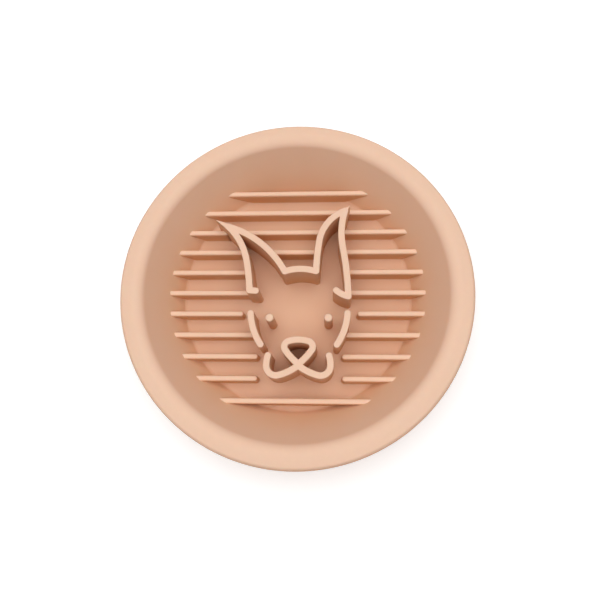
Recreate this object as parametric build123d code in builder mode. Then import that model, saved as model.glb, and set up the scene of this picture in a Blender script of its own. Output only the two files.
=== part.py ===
"""Round silicone lick bowl: a shallow dish with lick ribs, a dog's face in relief and a suction foot.

Millimetres. The origin is the middle of the underside, +Z is up and +Y points at the dog's ears.
"""
import os
from math import radians, sin, tan

from build123d import *

os.makedirs("parts", exist_ok=True)

# --- driving dimensions -------------------------------------------------------------------------

bowl_diameter = 150.0
bowl_depth = 20.5             # floor to the inner corner of the rim
wall_angle = 52.4             # of the inner wall, up from the floor, in degrees
wall_thickness = 3.5
floor_thickness = 3.5
floor_corner_radius = 2.0

rim_width = 8.5               # inner corner to outer edge, seen from above
rim_fall = 1.3                # how much lower the rim's outer edge lies
rim_thickness = 4.4
rim_inner_radius = 6.0
rim_outer_radius = 1.9
rim_root_radius = 3.0         # where the rim's underside meets the wall

foot_height = 6.0
foot_setback = 11.3           # from the wall's lower edge in to the foot's neck
foot_flare = 6.0              # from the neck out to the lip
foot_ring_width = 2.6         # flat ring that sits on the table
foot_hollow_depth = 4.0       # of the suction cup under the bowl
foot_lip_thickness = 0.8

rib_width = 2.6
rib_height = 7.2
rib_pitch = 9.4
rib_edge_radius = 0.9
rib_end_margin = 2.0          # from the outermost rib to the edge of the floor
rib_shortest = 8.0            # shorter pieces of rib are left out

line_width = 2.9              # of the drawn lines of the face
line_height = 17.0
eye_diameter = 3.7

face_centre_x = 1.8           # the face sits a little off the bowl's centre line
face_margin = 4.95            # from the tip of the left ear to the edge of the floor
face_reach = 46.8             # from the bowl's centre to that tip, as drawn below

# --- derived dimensions -------------------------------------------------------------------------

floor_bottom = foot_height
floor_top = floor_bottom + floor_thickness
rib_top = floor_top + rib_height
rim_top = floor_top + bowl_depth
bowl_radius = bowl_diameter / 2
rim_corner_radius = bowl_radius - rim_width
wall_run = 1 / tan(radians(wall_angle))             # outward per unit of height
floor_radius = rim_corner_radius - bowl_depth * wall_run
wall_offset = wall_thickness / sin(radians(wall_angle))
rim_underside = rim_top - rim_fall - rim_thickness
underside_radius = floor_radius - floor_thickness * wall_run + wall_offset
foot_neck_radius = underside_radius - foot_setback
foot_lip_radius = foot_neck_radius + foot_flare
rib_end_radius = 0.46 * rib_width                   # of a free end, seen from above
face_scale = (floor_radius - face_margin) / face_reach


# --- bowl and foot ------------------------------------------------------------------------------

def wall_radius(z):
    """Radius of the inner wall's cone at a height."""
    return floor_radius + (z - floor_top) * wall_run


def save(builder, name):
    """Label a finished piece and write it under its node's name."""
    builder.part.label = name
    export_step(builder.part, f"parts/{name}.step")


def make_bowl_shell():
    """Floor, sloping wall and wide rolled rim, turned as one section."""
    corners = [
        (0, floor_bottom),
        (underside_radius, floor_bottom),
        (wall_radius(rim_underside) + wall_offset, rim_underside),
        (bowl_radius, rim_underside),
        (bowl_radius, rim_top - rim_fall),
        (rim_corner_radius, rim_top),
        (floor_radius, floor_top),
        (0, floor_top),
    ]
    rounds = {1: floor_corner_radius, 2: rim_root_radius, 3: rim_outer_radius,
              4: rim_outer_radius, 5: rim_inner_radius, 6: floor_corner_radius}
    with BuildPart() as shell:
        with BuildSketch(Plane.XZ) as section:
            with BuildLine():
                Polyline(*corners, close=True)
            make_face()
            for index, radius in rounds.items():
                x, z = corners[index]
                fillet(section.vertices().sort_by_distance((x, z))[0], radius)
        revolve(axis=Axis.Z)
    return shell


def make_cavity():
    """The space inside the wall, which the ribs' ends are fitted to."""
    over_rim = rim_top + rim_width
    with BuildPart() as cavity:
        with BuildSketch(Plane.XZ) as section:
            with BuildLine():
                Polyline((0, floor_top), (floor_radius, floor_top),
                         (wall_radius(over_rim), over_rim), (0, over_rim), close=True)
            make_face()
            fillet(section.vertices().sort_by_distance((floor_radius, floor_top))[0], floor_corner_radius)
        revolve(axis=Axis.Z)
    return cavity


def make_suction_foot():
    """A flared neck with a shallow cup under it, which grips a smooth table when pressed."""
    ring_inner_radius = foot_lip_radius - foot_ring_width
    with BuildPart() as foot:
        with BuildSketch(Plane.XZ) as section:
            with BuildLine():
                Line((0, foot_hollow_depth), (0, foot_height))
                Line((0, foot_height), (foot_neck_radius, foot_height))
                TangentArc((foot_neck_radius, foot_height), (foot_lip_radius, foot_lip_thickness),
                           tangent=(0.1, -1))
                Line((foot_lip_radius, foot_lip_thickness), (foot_lip_radius, 0))
                Line((foot_lip_radius, 0), (ring_inner_radius, 0))
                TangentArc((0, foot_hollow_depth), (ring_inner_radius, 0), tangent=(1, 0))
            make_face()
        revolve(axis=Axis.Z)
    return foot


# --- the dog's face -----------------------------------------------------------------------------

# The drawing's points, at the size that fits the driving dimensions, from the middle of the face.
left_hook_end = (-18.9, -1.6)
left_ear_root = (-21.7, -1.4)
left_ear_tip = (-32.3, 28.2)
brow_left = (-6.4, 7.1)
brow_right = (7.3, 7.1)
right_ear_tip = (20.1, 35.2)
right_ear_root = (21.2, -4.2)
right_hook_end = (16.0, -1.5)
nose_crown = (0, -23.0)
nose_crown_radius = 14.0
nose_corner_radius = 2.5
nose_root = (0, -33.4)
mouth_line = [(0, -34.0), (8.3, -38.1), (13.5, -34.2), (12.9, -29.8)]
cheek_line = [(20.8, -11.6), (19.3, -19.0), (16.2, -25.1)]
eye_place = (12.6, -13.5)

# Where a rib's row crosses these heights of the drawing, it stops this far from the face's middle.
rib_gaps = [
    # half width, bottom, top
    (9.0, 7.0, 12.0),         # over the brow, between the ears
    (25.3, -13.0, -6.0),      # beside the temples
    (18.3, -42.0, -22.0),     # beside the muzzle
]


def on_face(x, y):
    """A point of the drawing, at the face's size and place on the floor."""
    return (face_centre_x + x * face_scale, y * face_scale)


def draw_ears_and_brow():
    """Up the left ear, down to the brow, across it, up the right ear and down its outer side.

    Gives the two lines that meet at each ear's tip.
    """
    left_side = TangentArc(on_face(*left_ear_root), on_face(-23.7, 13.5), tangent=(-0.04, 1))
    left_outer = TangentArc(left_side @ 1, on_face(*left_ear_tip), tangent=left_side % 1)
    left_inner = ThreePointArc(on_face(*left_ear_tip), on_face(-17.4, 20.3), on_face(*brow_left))
    ThreePointArc(on_face(*brow_left), on_face(0.5, 8.2), on_face(*brow_right))
    right_side = TangentArc(on_face(*brow_right), on_face(8.7, 21.3), tangent=(0.03, 1))
    right_inner = TangentArc(right_side @ 1, on_face(*right_ear_tip), tangent=right_side % 1)
    right_outer = ThreePointArc(on_face(*right_ear_tip), on_face(18.5, 26.7), on_face(19.0, 18.0))
    TangentArc(right_outer @ 1, on_face(*right_ear_root), tangent=right_outer % 1)
    return [(left_outer, left_inner), (right_inner, right_outer)]


def sharpen(line_in, line_out):
    """Carry the two lines that meet at an ear's tip on to a sharp corner."""
    tip = line_in @ 1
    first = line_in % 1
    second = -(line_out % 0)
    outward = 90 if first.cross(second).Z < 0 else -90
    half_width = line_width / 2
    half_angle = radians(first.get_angle(second) / 2)
    shoulder_in = tip + first.rotate(Axis.Z, outward) * half_width
    shoulder_out = tip + second.rotate(Axis.Z, -outward) * half_width
    apex = tip + (first + second).normalized() * half_width / sin(half_angle)
    Polygon(*[(point.X, point.Y) for point in (tip, shoulder_in, apex, shoulder_out)], align=None)


def make_face_outline():
    """The one line that draws both ears and the brow, hooked inward at both ends."""
    with BuildPart() as outline:
        with BuildSketch(Plane.XY.offset(floor_top)):
            with BuildLine():
                Line(on_face(*left_hook_end), on_face(*left_ear_root))
                tips = draw_ears_and_brow()
                ThreePointArc(on_face(*right_ear_root), on_face(18.5, -3.2), on_face(*right_hook_end))
                offset(amount=line_width / 2, side=Side.BOTH, mode=Mode.REPLACE)
            make_face()
            for line_in, line_out in tips:
                sharpen(line_in, line_out)
        extrude(amount=line_height)
    return outline


def make_cheek(side):
    """The short curved line below an ear."""
    with BuildPart() as cheek:
        with BuildSketch(Plane.XY.offset(floor_top)):
            with BuildLine():
                ThreePointArc(*[on_face(side * x, y) for x, y in cheek_line])
                offset(amount=line_width / 2, side=Side.BOTH, mode=Mode.REPLACE)
            make_face()
        extrude(amount=line_height)
    return cheek


def make_eye(side):
    with BuildPart() as eye:
        with BuildSketch(Plane.XY.offset(floor_top)):
            with Locations(on_face(side * eye_place[0], eye_place[1])):
                Circle(eye_diameter / 2)
        extrude(amount=line_height)
    return eye


def draw_half_nose(side):
    """Half of the nose's loop, from its crown round one corner and down to the root."""
    crown = JernArc(on_face(*nose_crown), (side, 0), nose_crown_radius * face_scale, -18 * side)
    corner = JernArc(crown @ 1, crown % 1, nose_corner_radius * face_scale, -107 * side)
    TangentArc(corner @ 1, on_face(*nose_root), tangent=corner % 1)


def draw_half_mouth(side):
    """From the middle, under the mouth and up to its end."""
    middle, under, corner, end = [on_face(side * x, y) for x, y in mouth_line]
    lip = TangentArc(middle, under, tangent=(0.79 * side, -0.62))
    turn = TangentArc(under, corner, tangent=lip % 1)
    TangentArc(corner, end, tangent=turn % 1)


def make_nose_and_mouth():
    """The nose, and a mouth below it that curls up on both sides."""
    with BuildPart() as muzzle:
        with BuildSketch(Plane.XY.offset(floor_top)):
            with BuildLine() as nose:
                draw_half_nose(1)
                draw_half_nose(-1)
            make_face(offset(nose.wires()[0], amount=line_width / 2, mode=Mode.PRIVATE))
            make_face(offset(nose.wires()[0], amount=-line_width / 2, mode=Mode.PRIVATE),
                      mode=Mode.SUBTRACT)
            with BuildLine():
                draw_half_mouth(1)
                draw_half_mouth(-1)
                offset(amount=line_width / 2, side=Side.BOTH, mode=Mode.REPLACE)
            make_face()
        extrude(amount=line_height)
    return muzzle


# --- ribs ---------------------------------------------------------------------------------------

def make_head():
    """The closed shape of the head, to the middles of its lines, which the ribs don't enter."""
    right_cheek = [on_face(x, y) for x, y in cheek_line]
    left_cheek = [on_face(-x, y) for x, y in cheek_line]
    with BuildPart() as head:
        with BuildSketch(Plane.XY.offset(floor_top)):
            with BuildLine():
                draw_ears_and_brow()
                Line(on_face(*right_ear_root), right_cheek[0])
                ThreePointArc(*right_cheek)
                Line(right_cheek[-1], left_cheek[-1])
                ThreePointArc(*reversed(left_cheek))
                Line(left_cheek[0], on_face(*left_ear_root))
            make_face()
        extrude(amount=rib_height)
    return head


def make_rib_row(y, cavity, head, lines):
    """One row of rib across the floor: it fits the wall, and stops at the face."""
    with BuildPart() as row:
        with Locations((0, y, floor_top)):
            Box(bowl_diameter, rib_width, rib_height, align=(Align.CENTER, Align.CENTER, Align.MIN))
        for half_width, bottom, top in rib_gaps:
            if bottom * face_scale < y < top * face_scale:
                with Locations((face_centre_x, y, floor_top)):
                    Box(2 * half_width * face_scale, rib_width, rib_height,
                        align=(Align.CENTER, Align.CENTER, Align.MIN), mode=Mode.SUBTRACT)
        fillet(row.edges().filter_by(Axis.Z), rib_end_radius)
        fillet(row.faces().filter_by(Axis.Z).group_by(Axis.Z)[-1].edges(), rib_edge_radius)
        add(cavity.part, mode=Mode.INTERSECT)
        add(head.part, mode=Mode.SUBTRACT)
        for line in lines:
            add(line.part, mode=Mode.SUBTRACT)
    return row.part.solids().sort_by(Axis.X)


def name_pieces(row_name, pieces):
    """Names for the pieces of a row, from the left."""
    sides = {1: [""], 2: ["_left", "_right"], 3: ["_left", "_middle", "_right"]}
    suffixes = sides.get(len(pieces)) or [f"_{index + 1}" for index in range(len(pieces))]
    return [row_name + suffix for suffix in suffixes]


# --- the whole bowl -----------------------------------------------------------------------------

def make_bowl():
    save(make_bowl_shell(), "bowl_shell")
    save(make_suction_foot(), "suction_foot")

    lines = {
        "face_outline": make_face_outline(),
        "cheek_left": make_cheek(-1),
        "cheek_right": make_cheek(1),
        "eye_left": make_eye(-1),
        "eye_right": make_eye(1),
        "nose_and_mouth": make_nose_and_mouth(),
    }
    for name, line in lines.items():
        save(line, name)

    cavity = make_cavity()
    head = make_head()
    rows_each_side = int((floor_radius - rib_end_margin) / rib_pitch)
    for number, step in enumerate(range(rows_each_side, -rows_each_side - 1, -1), start=1):
        row = make_rib_row(step * rib_pitch, cavity, head, lines.values())
        pieces = [piece for piece in row if piece.bounding_box().size.X >= rib_shortest]
        for name, piece in zip(name_pieces(f"rib_{number:02d}", pieces), pieces):
            with BuildPart() as rib:
                add(piece)
            save(rib, name)


make_bowl()
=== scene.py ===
import math

import bmesh
import bpy
from mathutils import Matrix, Vector


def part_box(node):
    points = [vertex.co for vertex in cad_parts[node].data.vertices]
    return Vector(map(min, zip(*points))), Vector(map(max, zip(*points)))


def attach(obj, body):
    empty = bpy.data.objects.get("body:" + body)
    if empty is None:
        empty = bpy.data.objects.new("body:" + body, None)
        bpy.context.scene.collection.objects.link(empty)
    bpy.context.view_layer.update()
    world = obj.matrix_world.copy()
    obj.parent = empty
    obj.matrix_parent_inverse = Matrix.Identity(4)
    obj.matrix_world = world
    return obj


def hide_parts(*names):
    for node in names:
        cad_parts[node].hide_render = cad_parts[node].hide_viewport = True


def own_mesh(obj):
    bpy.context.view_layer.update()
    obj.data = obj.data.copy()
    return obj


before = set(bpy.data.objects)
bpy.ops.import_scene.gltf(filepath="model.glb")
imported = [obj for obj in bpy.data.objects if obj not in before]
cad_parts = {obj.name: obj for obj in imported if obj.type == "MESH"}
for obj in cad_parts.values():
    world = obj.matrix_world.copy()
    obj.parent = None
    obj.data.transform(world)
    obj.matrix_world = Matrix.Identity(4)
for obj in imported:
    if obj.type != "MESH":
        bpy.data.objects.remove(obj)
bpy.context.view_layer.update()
mm = 0.001

# heights and widths that the pieces share, read from the CAD frame
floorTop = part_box("rib_01")[0].z
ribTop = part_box("rib_01")[1].z
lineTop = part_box("face_outline")[1].z
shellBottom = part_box("bowl_shell")[0].z
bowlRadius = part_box("bowl_shell")[1].x
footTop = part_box("suction_foot")[1].z
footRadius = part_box("suction_foot")[1].x
print("frame loaded, the bowl's floor is", round(floorTop / mm, 2), "mm above the table")

meshSettings = {
    "mergeDistance": 0.004 * mm,
    "sharpAngle": 50,  # degrees, over which an edge is shaded sharp
    "axisReach": 0.0001 * mm,  # how near the axis a point counts as on it
}


# a section is a closed loop in the XZ plane, its corners rounded by bevels

def drawSection(bm, corners, rounds):
    verts = [bm.verts.new((x, 0, z)) for x, z in corners]
    bm.faces.new(verts)
    slides = []
    for before, here, after in zip(verts[-1:] + verts, verts, verts[1:] + verts[:1]):
        turn = (here.co - before.co).angle(after.co - here.co)
        slides.append(math.tan(turn / 2))
    for vert, slide, (radius, segments) in zip(verts, slides, rounds):
        if radius:
            bmesh.ops.bevel(bm, geom=[vert], offset=radius * slide, offset_type="OFFSET",
                            segments=segments, profile=0.5,
                            affect="VERTICES", material=-1)
    bmesh.ops.delete(bm, geom=bm.faces[:], context="FACES_ONLY")


def turnSection(bm, steps):
    # the edge on the axis goes, and the rest is spun into a closed solid
    reach = meshSettings["axisReach"]
    onAxis = [e for e in bm.edges if all(abs(v.co.x) < reach for v in e.verts)]
    bmesh.ops.delete(bm, geom=onAxis, context="EDGES")
    bmesh.ops.spin(bm, geom=bm.verts[:] + bm.edges[:], cent=(0, 0, 0), axis=(0, 0, 1),
                   dvec=(0, 0, 0), angle=math.tau, steps=steps, use_merge=True)


def finishPiece(bm, name, body, replaced):
    bmesh.ops.remove_doubles(bm, verts=bm.verts, dist=meshSettings["mergeDistance"])
    bmesh.ops.recalc_face_normals(bm, faces=bm.faces)
    mesh = bpy.data.meshes.new(name)
    bm.to_mesh(mesh)
    bm.free()
    mesh.shade_smooth()
    mesh.set_sharp_from_angle(angle=math.radians(meshSettings["sharpAngle"]))
    piece = bpy.data.objects.new(name, mesh)
    bpy.context.scene.collection.objects.link(piece)
    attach(piece, body)
    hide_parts(*replaced)
    return piece


# the bowl: floor, sloping wall and wide rolled rim

bowlSizes = {
    "depth": 20.5 * mm,
    "wallAngle": 52.4,
    "wallThickness": 3.5 * mm,
    "rimWidth": 8.5 * mm,
    "rimFall": 1.3 * mm,
    "rimThickness": 4.4 * mm,
    "rimInnerRadius": 6.0 * mm,
    "rimOuterRadius": 1.9 * mm,
    "rimRootRadius": 3.0 * mm,
    "floorCornerRadius": 2.0 * mm,
    "seamHeight": 0.1 * mm,
    "seamWidth": 0.16 * mm,
    "underSteps": 6,  # segments round the corners below
    "rimSteps": 8,
    "rimInnerSteps": 10,
    "floorSteps": 8,
    "steps": 192,  # round the bowl
}
wallRun = 1 / math.tan(math.radians(bowlSizes["wallAngle"]))
rimTop = floorTop + bowlSizes["depth"]
floorRadius = bowlRadius - bowlSizes["rimWidth"] - bowlSizes["depth"] * wallRun


def wallRadius(z):
    return floorRadius + (z - floorTop) * wallRun


def makeBowl(sizes):
    sharp = (0, 0)
    outward = sizes["wallThickness"] / math.sin(math.radians(sizes["wallAngle"]))
    rimEdge = rimTop - sizes["rimFall"]
    rimUnder = rimEdge - sizes["rimThickness"]
    seam = (rimEdge + rimUnder) / 2
    seamWidth = sizes["seamWidth"]
    edge = bowlRadius - sizes["seamHeight"]
    rimRound = (sizes["rimOuterRadius"], sizes["rimSteps"])
    # from the middle of the underside, out round the rim and back to the middle of the floor
    corners = [
        (0, shellBottom),
        (wallRadius(shellBottom) + outward, shellBottom),
        (wallRadius(rimUnder) + outward, rimUnder),
        (edge, rimUnder),
        (edge, seam - seamWidth),
        (bowlRadius, seam - seamWidth / 4),
        (bowlRadius, seam + seamWidth / 4),
        (edge, seam + seamWidth),
        (edge, rimEdge),
        (bowlRadius - sizes["rimWidth"], rimTop),
        (floorRadius, floorTop),
        (0, floorTop),
    ]
    rounds = [
        sharp,
        (sizes["floorCornerRadius"], sizes["underSteps"]),
        (sizes["rimRootRadius"], sizes["underSteps"]),
        rimRound,
        sharp, sharp, sharp, sharp,
        rimRound,
        (sizes["rimInnerRadius"], sizes["rimInnerSteps"]),
        (sizes["floorCornerRadius"], sizes["floorSteps"]),
        sharp,
    ]
    bm = bmesh.new()
    drawSection(bm, corners, rounds)
    turnSection(bm, sizes["steps"])
    return finishPiece(bm, "silicone_bowl", "bowl", ["bowl_shell"])


bowl = makeBowl(bowlSizes)
print("bowl turned")


# the suction foot under the bowl

footSizes = {
    "flare": 6.0 * mm,
    "flareRadius": 3.6 * mm,
    "flareFoot": 1.6,  # height of the flare's corner, in lip thicknesses
    "lipThickness": 0.8 * mm,
    "lipRadius": 0.25 * mm,
    "ringWidth": 2.6 * mm,
    "ringRadius": 0.5 * mm,
    "hollowDepth": 4.0 * mm,
    "hollowReach": 0.6,  # where the roof of the hollow levels out, as a share of the ring
    "hollowRadius": 30 * mm,
    "flattened": 2.0 * mm,
    "gripRings": (17.0 * mm, 12.0 * mm, 7.0 * mm),
    "gripWidth": 1.0 * mm,
    "gripRound": 0.6,  # radius of a ring's crest, as a share of its half width
    "gateMark": 2.2 * mm,
    "gateDepth": 0.4 * mm,
    "gateTaper": 0.9,
    "gateRadii": (0.2 * mm, 0.15 * mm),
    "steps": 160,  # round the foot
}


def makeFoot(sizes):
    sharp = (0, 0)
    neck = footRadius - sizes["flare"]
    ring = footRadius - sizes["ringWidth"]
    roof = sizes["hollowDepth"]
    corners = [
        (0, footTop),
        (neck, footTop),
        (neck, sizes["lipThickness"] * sizes["flareFoot"]),
        (footRadius, sizes["lipThickness"]),
        (footRadius, 0),
        (ring, 0),
        (ring * sizes["hollowReach"], roof),
    ]
    rounds = [
        sharp,
        sharp,
        (sizes["flareRadius"], 8),
        (sizes["lipRadius"], 3),
        (sizes["lipRadius"], 3),
        (sizes["ringRadius"], 4),
        (sizes["hollowRadius"], 12),
    ]
    half = sizes["gripWidth"] / 2
    for radius in sizes["gripRings"]:
        corners += [(radius + half, roof), (radius, roof - half), (radius - half, roof)]
        rounds += [sharp, (half * sizes["gripRound"], 3), sharp]
    gate = sizes["gateMark"]
    gateRoof = roof - sizes["gateDepth"]
    corners += [(gate, roof), (gate * sizes["gateTaper"], gateRoof), (0, gateRoof)]
    rounds += [(radius, 2) for radius in sizes["gateRadii"]] + [sharp]
    bm = bmesh.new()
    drawSection(bm, corners, rounds)
    turnSection(bm, sizes["steps"])
    piece = finishPiece(bm, "suction_cup_foot", "suction_base", ["suction_foot"])
    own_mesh(piece)
    return piece


foot = makeFoot(footSizes)
print("suction foot turned")


# the dog's face: each raised line is a merged copy of its solid, with its top edge rounded over

faceSizes = {
    "edgeRadius": 0.45 * mm,
    "eyeEdgeRadius": 0.75 * mm,
    "roundSteps": 4,
    "flatMargin": 0.12 * mm,
    "mergeDistance": 0.001 * mm,
    "flatAngle": 0.5,  # degrees, under which the copy's triangles are joined
    "cornerAngle": 30,  # degrees, over which a top edge is a corner
    "topReach": 0.01 * mm,
    "levelNormal": 0.999,
}


def makeLine(name, node, edgeRadius, sizes):
    bm = bmesh.new()
    bm.from_mesh(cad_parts[node].data)
    bmesh.ops.remove_doubles(bm, verts=bm.verts, dist=sizes["mergeDistance"])
    bmesh.ops.dissolve_limit(bm, angle_limit=math.radians(sizes["flatAngle"]), verts=bm.verts,
                             edges=bm.edges)
    bmesh.ops.recalc_face_normals(bm, faces=bm.faces)
    nearTop = lineTop - sizes["topReach"]
    corner = math.radians(sizes["cornerAngle"])
    topEdges = [e for e in bm.edges if all(v.co.z > nearTop for v in e.verts)]
    topEdges = [e for e in topEdges if e.calc_face_angle(0) > corner]
    bmesh.ops.bevel(bm, geom=topEdges, offset=edgeRadius, offset_type="OFFSET",
                    segments=sizes["roundSteps"], profile=0.5,
                    affect="EDGES", clamp_overlap=True, material=-1)
    # a narrow border keeps the flat top evenly shaded
    level = [f for f in bm.faces if f.normal.z > sizes["levelNormal"]]
    flatTop = [f for f in level if f.calc_center_median().z > nearTop]
    bmesh.ops.inset_region(bm, faces=flatTop, thickness=sizes["flatMargin"], use_even_offset=True,
                           use_boundary=True)
    return finishPiece(bm, name, "bowl", [node])


lineEdge = faceSizes["edgeRadius"]
eyeEdge = faceSizes["eyeEdgeRadius"]
outline = makeLine("face_ears_and_brow", "face_outline", lineEdge, faceSizes)
cheekLeft = makeLine("face_cheek_left", "cheek_left", lineEdge, faceSizes)
cheekRight = makeLine("face_cheek_right", "cheek_right", lineEdge, faceSizes)
eyeLeft = makeLine("face_eye_left", "eye_left", eyeEdge, faceSizes)
eyeRight = makeLine("face_eye_right", "eye_right", eyeEdge, faceSizes)
muzzle = makeLine("face_nose_and_mouth", "nose_and_mouth", lineEdge, faceSizes)
print("face drawn in", len(outline.data.polygons), "faces of outline")


# the lick ribs: every piece of every row, between the wall and the face

ribSizes = {
    "width": 2.6 * mm,
    "draft": 0.05 * mm,
    "edgeRadius": 0.9 * mm,
    "edgeSteps": 5,
    "rootRadius": 0.6 * mm,
    "rootRound": 0.9,  # how much of the root's slope is rounded
    "rootSteps": 4,
    "seat": 0.02 * mm,
    "intoWall": 1.0 * mm,
    "intoLine": 0.7 * mm,
    "endSteps": 14,
    "nearWall": 0.93,  # an end past this share of the row meets the wall
}
# ends that stand free, beside the temples and the muzzle
freeEnds = {"rib_07_left": 1, "rib_07_right": -1, "rib_09_left": 1, "rib_09_right": -1,
            "rib_10_left": 1, "rib_10_right": -1}


def sectionFrame(place, along, normal=None):
    # stands the section across a line, or in a slanting plane with that normal
    side = Vector((along.y, -along.x))
    if normal is not None:
        side = side - along * side.dot(normal) / along.dot(normal)
    frameMatrix = Matrix.Identity(4)
    frameMatrix.col[0].xyz = (side.x, side.y, 0)
    frameMatrix.col[1].xyz = (along.x, along.y, 0)
    frameMatrix.col[3].xyz = (place.x, place.y, 0)
    return frameMatrix


def drawWall(bm, sizes, top):
    # a wall seen from its end: rounded top edges, a little draft and a soft root on the floor
    half = sizes["width"] / 2
    root = sizes["rootRadius"]
    low = floorTop - sizes["seat"]
    crestHalf = half - sizes["draft"]
    sharp = (0, 0)
    crestRound = (sizes["edgeRadius"], sizes["edgeSteps"])
    rootRound = (root * sizes["rootRound"], sizes["rootSteps"])
    drawSection(
        bm,
        [(0, top), (crestHalf, top), (half, floorTop), (half + root, low), (0, low),
         (-half - root, low), (-half, floorTop), (-crestHalf, top)],
        [sharp, crestRound, rootRound, sharp, sharp, sharp, rootRound, crestRound])


def carrySection(bm, start, end):
    ring = bm.edges[:]
    bmesh.ops.transform(bm, matrix=start, verts=bm.verts)
    made = bmesh.ops.extrude_edge_only(bm, edges=ring)["geom"]
    verts = [part for part in made if isinstance(part, bmesh.types.BMVert)]
    edges = [part for part in made if isinstance(part, bmesh.types.BMEdge)]
    lastRing = [e for e in edges if set(e.verts) <= set(verts)]
    bmesh.ops.transform(bm, matrix=end @ start.inverted(), verts=verts)
    return ring, lastRing


def roundEnd(bm, ring, frameMatrix, angle, steps):
    # half of the ring is spun round the end of the rib
    inverse = frameMatrix.inverted()
    half = [e for e in ring if (inverse @ ((e.verts[0].co + e.verts[1].co) / 2)).x > 0]
    verts = list({v for e in half for v in e.verts})
    bmesh.ops.spin(bm, geom=verts + half, cent=frameMatrix.translation, axis=(0, 0, 1),
                   dvec=(0, 0, 0), angle=angle, steps=steps, use_merge=False)


def wallFrame(side, y, sizes):
    # the section laid against the sloping wall, a little way into it
    radius = wallRadius(0) + sizes["intoWall"] / math.sin(math.radians(bowlSizes["wallAngle"]))
    x = math.sqrt((radius + ribTop * wallRun) ** 2 - y ** 2)
    lean = wallRun / math.cos(math.atan2(abs(y), x))
    place = Vector((side * (x - ribTop * lean), y))
    frameMatrix = sectionFrame(place, Vector((1, 0)), Vector((side * x, y)))
    frameMatrix.col[2].xyz = (side * lean, 0, 1)
    return frameMatrix


def makeRib(name, sizes):
    low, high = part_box(name)
    y = (low.y + high.y) / 2
    east = Vector((1, 0))
    rowReach = math.sqrt(wallRadius(ribTop) ** 2 - y ** 2)
    ends = []
    for side, x in ((-1, low.x), (1, high.x)):
        if abs(x) > sizes["nearWall"] * rowReach:
            ends.append((wallFrame(side, y, sizes), "flat"))
        elif freeEnds.get(name) == side:
            ends.append((sectionFrame(Vector((x - side * sizes["width"] / 2, y)), east), "round"))
        else:
            ends.append((sectionFrame(Vector((x + side * sizes["intoLine"], y)), east), "flat"))
    bm = bmesh.new()
    drawWall(bm, sizes, ribTop)
    rings = carrySection(bm, ends[0][0], ends[1][0])
    for (frameMatrix, form), ring, angle in zip(ends, rings, (-math.pi, math.pi)):
        if form == "round":
            roundEnd(bm, ring, frameMatrix, angle, sizes["endSteps"])
        else:
            bmesh.ops.contextual_create(bm, geom=ring)
    return finishPiece(bm, name.replace("rib", "lick_rib"), "bowl", [name])


ribs = [makeRib(name, ribSizes) for name in sorted(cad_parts) if name.startswith("rib_")]
print(len(ribs), "ribs set in rows")


# matte silicone: a fine moulded grain, a cloudy tint, painted shade low down and on steep faces,
# paler level crests from rubbed wear and painted light

siliconeLook = {
    "colour": (0.78, 0.50, 0.36, 1),
    # the deep colour is painted shade, for steep faces and low in the bowl
    "paintedShadeColour": (0.61, 0.285, 0.11, 1),
    # the pale colour is partly rubbed wear, partly painted light on level tops
    "rubbedAndLitColour": (0.88, 0.60, 0.43, 1),
    "roughness": 0.60,
    "roughnessChange": 0.06,
    "rubbedGloss": 0.05,
    "specular": 0.35,
    "grainSize": 0.35 * mm,
    "grainDepth": 0.012 * mm,
    "waveSize": 14 * mm,
    "waveDepth": 0.05 * mm,
    "cloudScale": 45,
    "cloudRange": (0.35, 0.65),
    "cloudChange": (0.92, 1.04),
    "speckScale": 420,
    "speckRange": (0.42, 0.72),
    "speckRoughness": 0.6,
    "steepRange": (0.25, 0.95),
    # how much painted shade falls low in the bowl and on steep faces
    "paintedShadeWhenLow": 0.32,
    "paintedShadeWhenSteep": 0.5,
    "crestHeight": 0.8 * mm,
    "levelRange": (0.7, 0.97),
    # how strongly the level tops are lifted, partly rubbed wear and partly painted light
    "rubbedAndLit": 0.55,
    "rubbedSpeck": 0.1,
    "scatter": 0.15,
    "scatterReach": 1.2 * mm,
    "scatterColour": (1.0, 0.35, 0.15),
}


def newGroup(name, inputs, outputs):
    group = bpy.data.node_groups.new(name, "ShaderNodeTree")
    for socketName, kind, value in inputs:
        socket = group.interface.new_socket(name=socketName, in_out="INPUT",
                                            socket_type=kind)
        if value is not None:
            socket.default_value = value
    for socketName, kind in outputs:
        group.interface.new_socket(name=socketName, in_out="OUTPUT", socket_type=kind)
    return group, group.nodes.new("NodeGroupInput"), group.nodes.new("NodeGroupOutput")


def addNoise(tree, vector, scale, detail, roughness=0.5):
    noise = tree.nodes.new("ShaderNodeTexNoise")
    noise.inputs["Scale"].default_value = scale
    noise.inputs["Detail"].default_value = detail
    noise.inputs["Roughness"].default_value = roughness
    tree.links.new(vector, noise.inputs["Vector"])
    return noise.outputs["Fac"]


def addMath(tree, operation, first, second, clamp=False):
    node = tree.nodes.new("ShaderNodeMath")
    node.operation = operation
    node.use_clamp = clamp
    for socket, value in zip(node.inputs, (first, second)):
        if isinstance(value, (int, float)):
            socket.default_value = value
        else:
            tree.links.new(value, socket)
    return node.outputs[0]


def addRange(tree, value, low, high, to=(0, 1)):
    node = tree.nodes.new("ShaderNodeMapRange")
    node.interpolation_type = "SMOOTHSTEP"
    limits = {"From Min": low, "From Max": high, "To Min": to[0], "To Max": to[1]}
    for socketName, number in limits.items():
        node.inputs[socketName].default_value = number
    tree.links.new(value, node.inputs["Value"])
    return node.outputs["Result"]


def addMix(tree, factor, first, second):
    node = tree.nodes.new("ShaderNodeMix")
    node.data_type = "RGBA"
    # the factor, and the two colour sockets among those that share the names A and B
    for socketIndex, value in ((0, factor), (6, first), (7, second)):
        tree.links.new(value, node.inputs[socketIndex])
    return node.outputs[2]


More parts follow.
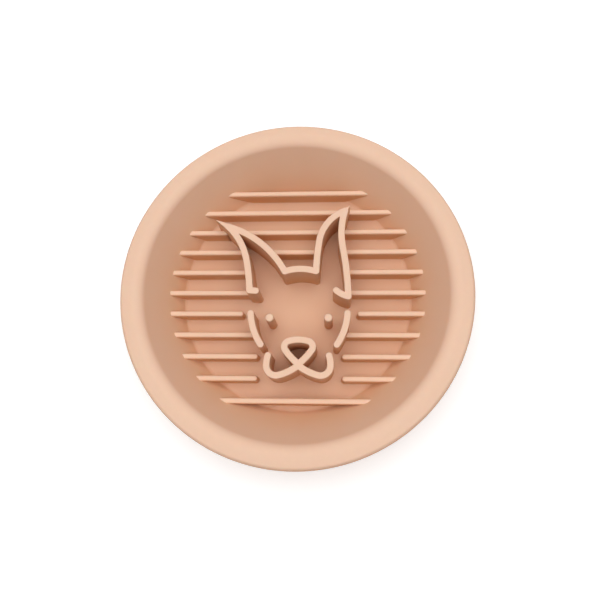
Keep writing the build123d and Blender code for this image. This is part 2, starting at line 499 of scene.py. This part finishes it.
def makeGrainGroup(look):
    # height of the moulded surface, in metres
    group, start, end = newGroup("mouldedGrain", [("Vector", "NodeSocketVector", None)],
                                 [("Height", "NodeSocketFloat")])
    vector = start.outputs["Vector"]
    grain = addNoise(group, vector, 1 / look["grainSize"], 2)
    swell = addNoise(group, vector, 1 / look["waveSize"], 1)
    fine = addMath(group, "MULTIPLY", grain, look["grainDepth"])
    wave = addMath(group, "MULTIPLY", swell, look["waveDepth"])
    group.links.new(addMath(group, "ADD", fine, wave), end.inputs["Height"])
    return group


def makeTintGroup(look):
    # cloudy tint, painted shade low in the bowl and on steep faces, and paler level tops from
    # rubbed wear plus painted light
    group, start, end = newGroup(
        "paintedShadeAndWearTint",
        [("Vector", "NodeSocketVector", None), ("Colour", "NodeSocketColor", look["colour"]),
         ("Painted Shade Colour", "NodeSocketColor", look["paintedShadeColour"]),
         ("Rubbed And Lit Colour", "NodeSocketColor", look["rubbedAndLitColour"])],
        [("Colour", "NodeSocketColor"), ("Roughness", "NodeSocketFloat")])
    vector = start.outputs["Vector"]
    split = group.nodes.new("ShaderNodeSeparateXYZ")
    group.links.new(vector, split.inputs[0])
    cloud = addRange(group, addNoise(group, vector, look["cloudScale"], 3), *look["cloudRange"])
    specks = addNoise(group, vector, look["speckScale"], 4, look["speckRoughness"])
    speck = addRange(group, specks, *look["speckRange"])
    facing = group.nodes.new("ShaderNodeSeparateXYZ")
    normal = group.nodes.new("ShaderNodeNewGeometry").outputs["Normal"]
    group.links.new(normal, facing.inputs[0])
    # painted shade: deeper colour low in the bowl and on steep faces
    steepShadeMask = addRange(group, facing.outputs["Z"], *look["steepRange"], (1, 0))
    low = addRange(group, split.outputs["Z"], floorTop, lineTop, (1, 0))
    lowShadeShare = addMath(group, "MULTIPLY", low, look["paintedShadeWhenLow"])
    steepShadeShare = addMath(group, "MULTIPLY", steepShadeMask, look["paintedShadeWhenSteep"])
    body = addMath(group, "ADD", lowShadeShare, steepShadeShare)
    cloudy = addRange(group, cloud, 0, 1, look["cloudChange"])
    paintedShade = addMath(group, "MULTIPLY", body, cloudy, clamp=True)
    # paler where the crests are level: partly rubbed wear, partly painted light on the upward
    # faces
    crest = addRange(group, split.outputs["Z"], ribTop - look["crestHeight"], ribTop)
    level = addRange(group, facing.outputs["Z"], *look["levelRange"])
    high = addMath(group, "MULTIPLY", crest, level)
    speckShare = addMath(group, "MULTIPLY", speck, look["rubbedSpeck"])
    wearAndLightAmount = addMath(group, "ADD", speckShare, look["rubbedAndLit"])
    rubbedAndLit = addMath(group, "MULTIPLY", high, wearAndLightAmount)
    # the painted shade is mixed into the colour here
    withPaintedShade = addMix(group, paintedShade, start.outputs["Colour"], start.outputs["Painted Shade Colour"])
    # the pale rubbed and painted-light colour goes on the level tops here
    wornAndLit = addMix(group, rubbedAndLit, withPaintedShade, start.outputs["Rubbed And Lit Colour"])
    group.links.new(wornAndLit, end.inputs["Colour"])
    # roughness drifts with the clouds and specks, and drops a little where it is rubbed
    mottle = addMath(group, "ADD", cloud, speck)
    uneven = addMath(group, "MULTIPLY", mottle, look["roughnessChange"])
    gloss = addMath(group, "MULTIPLY", high, look["rubbedGloss"])
    satin = addMath(group, "SUBTRACT", uneven, gloss)
    rough = addMath(group, "ADD", satin, look["roughness"], clamp=True)
    group.links.new(rough, end.inputs["Roughness"])
    return group


def addSilicone(look):
    material = bpy.data.materials.new("blush_silicone")
    material.use_nodes = True
    tree = material.node_tree
    shader = tree.nodes["Principled BSDF"]
    place = tree.nodes.new("ShaderNodeTexCoord").outputs["Object"]
    tint = tree.nodes.new("ShaderNodeGroup")
    tint.node_tree = makeTintGroup(look)
    grain = tree.nodes.new("ShaderNodeGroup")
    grain.node_tree = makeGrainGroup(look)
    bump = tree.nodes.new("ShaderNodeBump")
    bump.inputs["Distance"].default_value = 1.0  # the grain's height is in metres already
    tree.links.new(place, tint.inputs["Vector"])
    tree.links.new(place, grain.inputs["Vector"])
    tree.links.new(tint.outputs["Colour"], shader.inputs["Base Color"])
    tree.links.new(tint.outputs["Roughness"], shader.inputs["Roughness"])
    tree.links.new(grain.outputs["Height"], bump.inputs["Height"])
    tree.links.new(bump.outputs["Normal"], shader.inputs["Normal"])
    shader.inputs["Specular IOR Level"].default_value = look["specular"]
    shader.inputs["Subsurface Weight"].default_value = look["scatter"]
    shader.inputs["Subsurface Radius"].default_value = look["scatterColour"]
    shader.inputs["Subsurface Scale"].default_value = look["scatterReach"]
    return material


silicone = addSilicone(siliconeLook)
face = [outline, cheekLeft, cheekRight, eyeLeft, eyeRight, muzzle]
for piece in [bowl, foot, *face, *ribs]:
    piece.data.materials.append(silicone)
print("silicone mixed")


# the table, the lamp, the sky and the camera

studio = {
    "tableRadius": 0.8,
    "tableSteps": 128,
    "tableColour": (0.95, 0.95, 0.95, 1),
    "tableRoughness": 0.8,
    "tableSpecular": 0.2,
    "tableGlow": 0.25,
    "tableFade": (0.5, 0.95),  # where the fade starts and ends, as shares of the radius
    "footCover": 1.0 * mm,
    "lampSize": 2.2,
    "lampHeight": 1.2,
    "lampNorth": 0.05,
    "lampPower": 21.5,
    "skyStrength": 0.18,
    "belowStrength": 0.75,
    "horizonBlend": 0.1,
}


def addTable(settings):
    # a round table top, open under the foot, that fades into the white around it
    holeRadius = footRadius - settings["footCover"]
    bm = bmesh.new()
    bmesh.ops.create_circle(bm, segments=settings["tableSteps"], radius=holeRadius)
    made = bmesh.ops.extrude_edge_only(bm, edges=bm.edges[:])["geom"]
    outer = [part for part in made if isinstance(part, bmesh.types.BMVert)]
    grow = settings["tableRadius"] / holeRadius
    bmesh.ops.scale(bm, vec=(grow, grow, 1), verts=outer)
    bmesh.ops.recalc_face_normals(bm, faces=bm.faces)
    if bm.faces[:][0].normal.z < 0:
        bmesh.ops.reverse_faces(bm, faces=bm.faces)
    mesh = bpy.data.meshes.new("pale_table")
    bm.to_mesh(mesh)
    bm.free()
    table = bpy.data.objects.new("pale_table", mesh)
    bpy.context.scene.collection.objects.link(table)
    material = bpy.data.materials.new("pale_table")
    material.use_nodes = True
    tree = material.node_tree
    nodes, links = tree.nodes, tree.links
    shader = nodes["Principled BSDF"]
    shader.inputs["Base Color"].default_value = settings["tableColour"]
    shader.inputs["Roughness"].default_value = settings["tableRoughness"]
    shader.inputs["Specular IOR Level"].default_value = settings["tableSpecular"]
    # a glow that only the camera sees lifts the table towards white
    glow = nodes.new("ShaderNodeEmission")
    cameraRay = nodes.new("ShaderNodeLightPath").outputs["Is Camera Ray"]
    seen = addMath(tree, "MULTIPLY", cameraRay, settings["tableGlow"])
    links.new(seen, glow.inputs["Strength"])
    both = nodes.new("ShaderNodeAddShader")
    links.new(shader.outputs[0], both.inputs[0])
    links.new(glow.outputs[0], both.inputs[1])
    reach = nodes.new("ShaderNodeVectorMath")
    reach.operation = "LENGTH"
    links.new(nodes.new("ShaderNodeTexCoord").outputs["Object"], reach.inputs[0])
    fadeStart, fadeEnd = (settings["tableRadius"] * share for share in settings["tableFade"])
    faded = addRange(tree, reach.outputs["Value"], fadeStart, fadeEnd)
    below = nodes.new("ShaderNodeNewGeometry").outputs["Backfacing"]
    clear = nodes.new("ShaderNodeBsdfTransparent")
    sided = nodes.new("ShaderNodeMixShader")
    links.new(addMath(tree, "MAXIMUM", faded, below), sided.inputs[0])
    links.new(both.outputs[0], sided.inputs[1])
    links.new(clear.outputs[0], sided.inputs[2])
    links.new(sided.outputs[0], nodes["Material Output"].inputs["Surface"])
    mesh.materials.append(material)


def addLamp(settings):
    light = bpy.data.lights.new("overhead_softbox", "AREA")
    light.shape = "DISK"
    light.size = settings["lampSize"]
    light.energy = settings["lampPower"]
    lamp = bpy.data.objects.new("overhead_softbox", light)
    lamp.location = (0, settings["lampNorth"], settings["lampHeight"])
    # turned to face the bowl
    lean = math.atan2(settings["lampNorth"], settings["lampHeight"])
    lamp.rotation_euler = (-lean, 0, 0)
    bpy.context.scene.collection.objects.link(lamp)


def addSky(settings):
    # plain white to the camera, and dim above and brighter below to everything else
    world = bpy.data.worlds.new("studio_sky")
    bpy.context.scene.world = world
    world.use_nodes = True
    tree = world.node_tree
    nodes, links = tree.nodes, tree.links
    sky = nodes["Background"]
    sky.inputs["Color"].default_value = (1, 1, 1, 1)
    height = nodes.new("ShaderNodeSeparateXYZ")
    links.new(nodes.new("ShaderNodeTexCoord").outputs["Generated"], height.inputs[0])
    strengths = (settings["belowStrength"], settings["skyStrength"])
    strength = addRange(tree, height.outputs["Z"], -settings["horizonBlend"], 0, strengths)
    links.new(strength, sky.inputs["Strength"])
    white = nodes.new("ShaderNodeBackground")
    white.inputs["Color"].default_value = (1, 1, 1, 1)
    mix = nodes.new("ShaderNodeMixShader")
    links.new(nodes.new("ShaderNodeLightPath").outputs["Is Camera Ray"], mix.inputs[0])
    links.new(sky.outputs[0], mix.inputs[1])
    links.new(white.outputs[0], mix.inputs[2])
    links.new(mix.outputs[0], nodes["World Output"].inputs["Surface"])


cameraSettings = {
    "distance": 259.0 * mm,
    "tilt": 14.8,
    "azimuth": 14.0,
    "roll": 0.78,
    "lens": 35.34,
    "sensorWidth": 36,
    "shiftX": 0.0062,
    "shiftY": -0.0123,
    "clipStart": 10 * mm,
}


def addCamera(settings):
    tilt = math.radians(settings["tilt"])
    azimuth = math.radians(settings["azimuth"])
    target = Vector((0, 0, ribTop))
    across = math.sin(tilt)
    back = Vector((across * math.sin(azimuth), -across * math.cos(azimuth), math.cos(tilt)))
    right = Vector((0, 1, 0)).cross(back).normalized()
    upright = Matrix((right, back.cross(right), back)).transposed()
    turn = upright @ Matrix.Rotation(math.radians(settings["roll"]), 3, "Z")
    data = bpy.data.cameras.new("overhead_camera")
    data.lens = settings["lens"]
    data.sensor_width = settings["sensorWidth"]
    data.shift_x = settings["shiftX"]
    data.shift_y = settings["shiftY"]
    data.clip_start = settings["clipStart"]
    camera = bpy.data.objects.new("overhead_camera", data)
    camera.matrix_world = Matrix.Translation(target + back * settings["distance"]) @ turn.to_4x4()
    bpy.context.scene.collection.objects.link(camera)
    bpy.context.scene.camera = camera


addTable(studio)
addLamp(studio)
addSky(studio)
addCamera(cameraSettings)
bpy.context.scene.view_settings.view_transform = "Standard"
print("studio lit")
